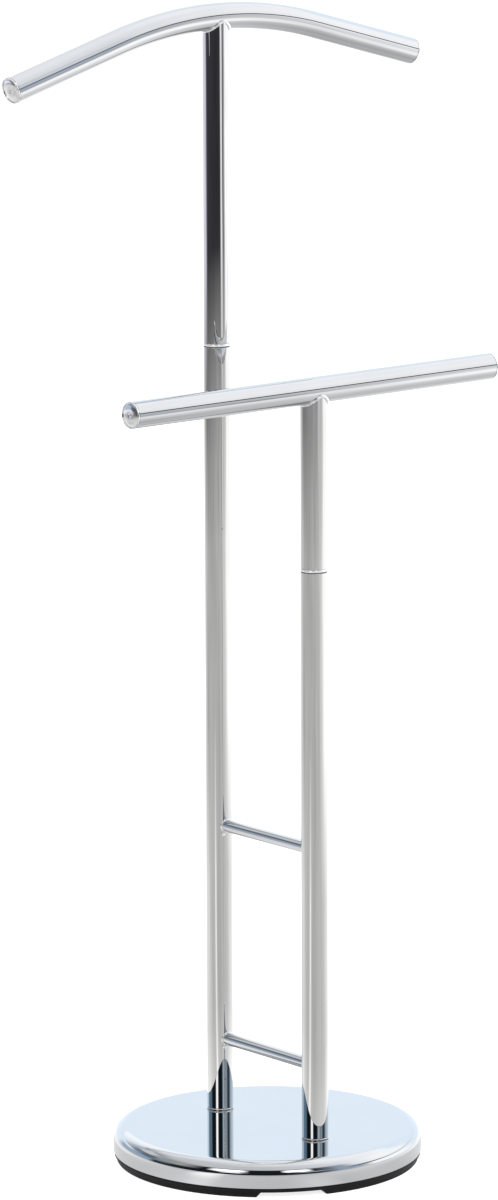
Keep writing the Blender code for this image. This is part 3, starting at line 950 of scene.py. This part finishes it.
def studio_walls():
    """Dome seen only in reflections: dark room at the front, bright paper behind, pale ceiling."""
    material, tree, glow = emissive("studio_walls")
    coordinates = tree.nodes.new("ShaderNodeTexCoord")
    around, split = bearing(tree, coordinates.outputs["Object"])
    spot = vector_length(tree, coordinates.outputs["Object"])
    sine = maths(tree, "DIVIDE", split.outputs["Z"], spot)
    height = maths(tree, "MULTIPLY", maths(tree, "ARCSINE", sine), 180 / math.pi)
    low = ramp(tree, around, bearing_stops([
        (-180, 0.88, PALE_BLUE), (-146, 0.88, PALE_BLUE), (-136, 0.50), (-104, 0.42),
        (-98, 0.38), (-92, 0.04), (-60, 0.012), (20, 0.015), (38, 0.03), (48, 0.20), (56, 0.40),
        (72, 0.45), (78, 0.55, NEUTRAL), (86, 1.05, NEUTRAL), (120, 1.05, NEUTRAL),
        (138, 0.90, PALE_BLUE), (165, 0.88, PALE_BLUE), (180, 0.88, PALE_BLUE)], NAVY))
    middle = ramp(tree, around, bearing_stops([
        (-180, 0.72), (-172, 0.72), (-165, 0.55), (-155, 0.62), (-145, 0.68), (-135, 0.50),
        (-122, 0.14, NAVY), (-110, 0.26, NAVY), (-103, 0.38), (-85, 0.38), (-60, 0.50), (-30, 0.57),
        (0, 0.56), (30, 0.57), (55, 0.62), (72, 0.84), (84, 0.93), (100, 1.03), (150, 1.03),
        (165, 0.80), (180, 0.72)]))
    high = ramp(tree, around, bearing_stops([
        (-180, 0.88), (-150, 0.85), (-110, 0.60), (-60, 0.58), (0, 0.58), (50, 0.70),
        (80, 0.86), (110, 0.95), (150, 0.98), (180, 0.88)], (0.98, 1.0, 1.03)))
    soft_edge = rising(tree, height, SOFT_HORIZON)
    sharp_edge = rising(tree, height, SHARP_HORIZON)
    to_side = ramp(tree, around, bearing_stops([
        (-180, 0.0), (-150, 0.0), (-140, 0.8), (-72, 0.8), (-52, 0.0), (60, 0.0), (72, 1.0),
        (115, 1.0), (140, 0.0), (180, 0.0)]))
    edge = blended_values(tree, to_side, sharp_edge, soft_edge)
    colour = mix_colours(tree, edge, low, middle)
    shelf = ramp(tree, around, bearing_stops([
        (-180, 0.86, PALE_BLUE), (-128, 0.86, PALE_BLUE), (-118, 0.38), (-101, 0.20), (-86, 0.24),
        (-80, 0.16), (-75, 0.04), (-65, 0.010), (-41, 0.010), (-38, 0.15, NEUTRAL),
        (-34, 1.30, NEUTRAL), (-22, 1.50, NEUTRAL), (-18, 0.35, NEUTRAL), (-13, 0.010), (13, 0.010),
        (20, 0.08), (26, 0.55, MIST), (30, 0.57, MIST), (38, 0.48, MIST), (45, 0.28, MIST),
        (50, 0.28, MIST), (56, 0.40, MIST), (61, 0.34, MIST), (68, 0.10), (75, 0.040), (82, 0.040),
        (92, 0.22), (103, 0.54, PALE_BLUE), (130, 0.76, PALE_BLUE), (150, 0.86, PALE_BLUE)], TEAL))
    for panel in WALL_PANELS:
        colour = add_panel(tree, colour, around, height, *panel)
    under_top = falling(tree, height, SHELF_TOP)
    band = maths(tree, "MULTIPLY", rising(tree, height, SHELF_BOTTOM), under_top)
    colour = mix_colours(tree, band, colour, shelf)
    colour = mix_colours(tree, rising(tree, height, HIGH_WALL), colour, high)
    ceiling = plain_colour(tree, grey(CEILING_BRIGHTNESS))
    colour = mix_colours(tree, rising(tree, height, CEILING), colour, ceiling)
    tree.links.new(colour, glow.inputs["Color"])
    glow.inputs["Strength"].default_value = STUDIO_GAIN
    builder = bmesh.new()
    bmesh.ops.create_uvsphere(builder, u_segments=64, v_segments=32, radius=DOME_RADIUS)
    add_stage_card("studio_walls", builder, material)


def studio_floor_glow():
    """Floor seen only in reflections: white at the sides and behind, dark towards the room."""
    material, tree, glow = emissive("studio_floor")
    coordinates = tree.nodes.new("ShaderNodeTexCoord")
    around, split = bearing(tree, coordinates.outputs["Object"])
    across = tree.nodes.new("ShaderNodeCombineXYZ")
    tree.links.new(split.outputs["X"], across.inputs["X"])
    tree.links.new(split.outputs["Y"], across.inputs["Y"])
    distance = vector_length(tree, across.outputs["Vector"])
    near = ramp(tree, around, bearing_stops([
        (-180, 0.62), (-172, 0.62), (-163, 0.85), (-150, 0.98), (-135, 0.82), (-120, 0.76),
        (-100, 0.73), (-88, 0.62), (-70, 0.56), (-60, 0.52), (-44, 0.52), (-37, 0.86),
        (-29, 0.86), (-22, 0.50), (0, 0.46), (20, 0.50), (40, 0.54), (60, 0.58), (80, 0.64),
        (95, 0.74), (110, 0.82), (120, 0.86), (135, 0.90), (152, 0.95), (165, 0.80), (174, 0.62),
        (180, 0.62)]))
    middle = ramp(tree, around, bearing_stops([
        (-180, 0.85), (-165, 0.95), (-150, 1.0), (-138, 0.86), (-130, 0.74), (-120, 0.62),
        (-110, 0.52), (-100, 0.47), (-80, 0.46), (-20, 0.45), (0, 0.46), (20, 0.50),
        (35, 0.50), (50, 0.60), (62, 0.68), (72, 0.85), (82, 1.02), (95, 1.12), (150, 1.15),
        (165, 1.0), (180, 0.85)]))
    dim = ramp(tree, around, bearing_stops([
        (-180, 1.0), (-150, 0.78), (-140, 0.70), (-130, 0.60), (-120, 0.47), (-110, 0.35),
        (-100, 0.24), (-90, 0.20), (-80, 0.20), (-60, 0.24), (-30, 0.28), (0, 0.34),
        (34, 0.35), (42, 0.60), (50, 0.55), (60, 0.50), (70, 0.60), (76, 0.45), (77.5, 0.38),
        (79, 0.70), (84, 0.95), (95, 1.05), (180, 1.10)]))
    far = ramp(tree, around, bearing_stops([
        (-180, 1.20), (-150, 1.10), (-140, 0.98), (-131, 0.82), (-120, 0.72), (-104, 0.68),
        (-96, 0.60), (-90, 0.20), (-84, 0.08), (-75, 0.042), (0, 0.030), (36, 0.035),
        (42, 0.75, NEUTRAL), (47, 0.88, NEUTRAL), (53, 0.80, NEUTRAL), (58, 0.15), (66, 0.14),
        (71, 0.42), (76.1, 0.50), (76.8, 0.26, NEUTRAL), (77.8, 0.32, NEUTRAL),
        (78.6, 0.62, NEUTRAL), (79.4, 0.75, NEUTRAL), (84, 1.10, NEUTRAL), (180, 1.20)], DUSK))
    apron = ramp(tree, around, bearing_stops([
        (-180, 0.62), (-150, 0.60), (-109, 0.555), (-68, 0.485), (-47, 0.515), (-40, 0.55),
        (-34, 0.64), (-29, 0.64), (-22, 0.50), (-5, 0.455), (8, 0.455), (16, 0.50), (22, 0.56),
        (27, 0.54), (36, 0.455), (54, 0.485), (72, 0.475), (102, 0.575), (150, 0.60), (180, 0.62)]))
    colour = mix_colours(tree, rising(tree, distance, APRON_EDGE), apron, near)
    colour = mix_colours(tree, rising(tree, distance, MIDDLE_FLOOR), colour, middle)
    colour = mix_colours(tree, rising(tree, distance, DIM_FLOOR), colour, dim)
    colour = mix_colours(tree, rising(tree, distance, FAR_FLOOR), colour, far)
    tree.links.new(colour, glow.inputs["Color"])
    tree.links.new(floor_strength(tree, around, distance), glow.inputs["Strength"])
    builder = bmesh.new()
    bmesh.ops.create_circle(builder, segments=96, radius=GLOW_RADIUS, cap_ends=True)
    bmesh.ops.translate(builder, verts=builder.verts, vec=(0.0, 0.0, -GLOW_DROP))
    add_stage_card("studio_floor_glow", builder, material)


def floor_strength(tree, around, distance):
    """Brightness of the floor: brighter where seen at a slant, faintly streaked outwards."""
    streaks = tree.nodes.new("ShaderNodeCombineXYZ")
    tree.links.new(maths(tree, "MULTIPLY", around, 30.0), streaks.inputs["X"])
    tree.links.new(maths(tree, "MULTIPLY", distance, 0.8), streaks.inputs["Y"])
    unevenness = tree.nodes.new("ShaderNodeTexNoise")
    unevenness.inputs["Scale"].default_value = 1.0
    unevenness.inputs["Detail"].default_value = 2.0
    tree.links.new(streaks.outputs["Vector"], unevenness.inputs["Vector"])
    slant = tree.nodes.new("ShaderNodeLayerWeight")
    slant.inputs["Blend"].default_value = 0.5
    steepness = ranged(tree, slant.outputs["Facing"], 0.50, 1.0, 0.12, 0.46)
    streak = ranged(tree, unevenness.outputs["Fac"], -0.13, 0.12)
    streak = maths(tree, "MULTIPLY", streak, ranged(tree, distance, 0.0, 1.0, 0.2, 0.7))
    strength = maths(tree, "MULTIPLY", steepness, maths(tree, "ADD", streak, 1.0))
    strength = maths(tree, "MULTIPLY", strength, ranged(tree, distance, 1.22, 1.0, 0.25, 0.50))
    return maths(tree, "MULTIPLY", strength, STUDIO_GAIN)


def add_stage_card(name, builder, material):
    """A stage mesh that shows only in reflections, turned so that local +X faces the camera."""
    mesh = bpy.data.meshes.new(name)
    builder.to_mesh(mesh)
    builder.free()
    mesh.materials.append(material)
    card = bpy.data.objects.new(name, mesh)
    bpy.context.scene.collection.objects.link(card)
    card.rotation_euler = (0.0, 0.0, VIEW_AZIMUTH - math.pi / 2)
    card.visible_camera = False
    card.visible_diffuse = False
    card.visible_shadow = False


def make_floor():
    """Plain pale floor; the camera sees it, the chrome sees the studio instead."""
    material, _, shader = new_material("pale_floor", (0.9, 0.9, 0.9), 0.8, 0.0)
    shader.inputs["Emission Color"].default_value = (1.0, 1.0, 1.0, 1.0)
    shader.inputs["Emission Strength"].default_value = FLOOR_BRIGHTNESS
    builder = bmesh.new()
    bmesh.ops.create_circle(builder, segments=96, radius=FLOOR_RADIUS, cap_ends=True)
    mesh = bpy.data.meshes.new("floor")
    builder.to_mesh(mesh)
    builder.free()
    mesh.materials.append(material)
    floor = bpy.data.objects.new("floor", mesh)
    bpy.context.scene.collection.objects.link(floor)
    floor.location = (0.0, 0.0, -FLOOR_DROP)
    floor.visible_glossy = False


def make_lights():
    """Soft boxes for the matt parts, and an even pale world."""
    world = bpy.data.worlds.new("studio_air")
    world.use_nodes = True
    background = world.node_tree.nodes["Background"]
    background.inputs["Color"].default_value = (1.0, 1.0, 1.0, 1.0)
    background.inputs["Strength"].default_value = AIR_BRIGHTNESS
    bpy.context.scene.world = world
    for name, place, size, power in LIGHT_BOXES:
        data = bpy.data.lights.new(name, "AREA")
        data.shape = "SQUARE"
        data.size = size
        data.energy = power
        light = bpy.data.objects.new(name, data)
        bpy.context.scene.collection.objects.link(light)
        light.location = place
        aim = LIGHT_AIM - light.location
        light.rotation_euler = aim.to_track_quat("-Z", "Y").to_euler()
        light.visible_glossy = False


def make_camera():
    """Camera at the photographed bearing, with a long lens."""
    data = bpy.data.cameras.new("camera")
    data.lens = LENS_MM
    data.sensor_width = 36.0
    data.clip_end = 100.0
    camera = bpy.data.objects.new("camera", data)
    bpy.context.scene.collection.objects.link(camera)
    back = Vector((
        math.sin(VIEW_AZIMUTH) * math.cos(VIEW_ELEVATION),
        -math.cos(VIEW_AZIMUTH) * math.cos(VIEW_ELEVATION),
        math.sin(VIEW_ELEVATION)))
    camera.location = VIEW_PIVOT + back * VIEW_DISTANCE
    look = (VIEW_TARGET - camera.location).to_track_quat("-Z", "Y")
    roll = Matrix.Rotation(VIEW_ROLL, 3, "Z").to_quaternion()
    camera.rotation_mode = "QUATERNION"
    camera.rotation_quaternion = look @ roll
    bpy.context.scene.camera = camera


make_camera()
make_stand()
studio_walls()
studio_floor_glow()
make_floor()
make_lights()
bpy.context.scene.view_settings.view_transform = "Standard"
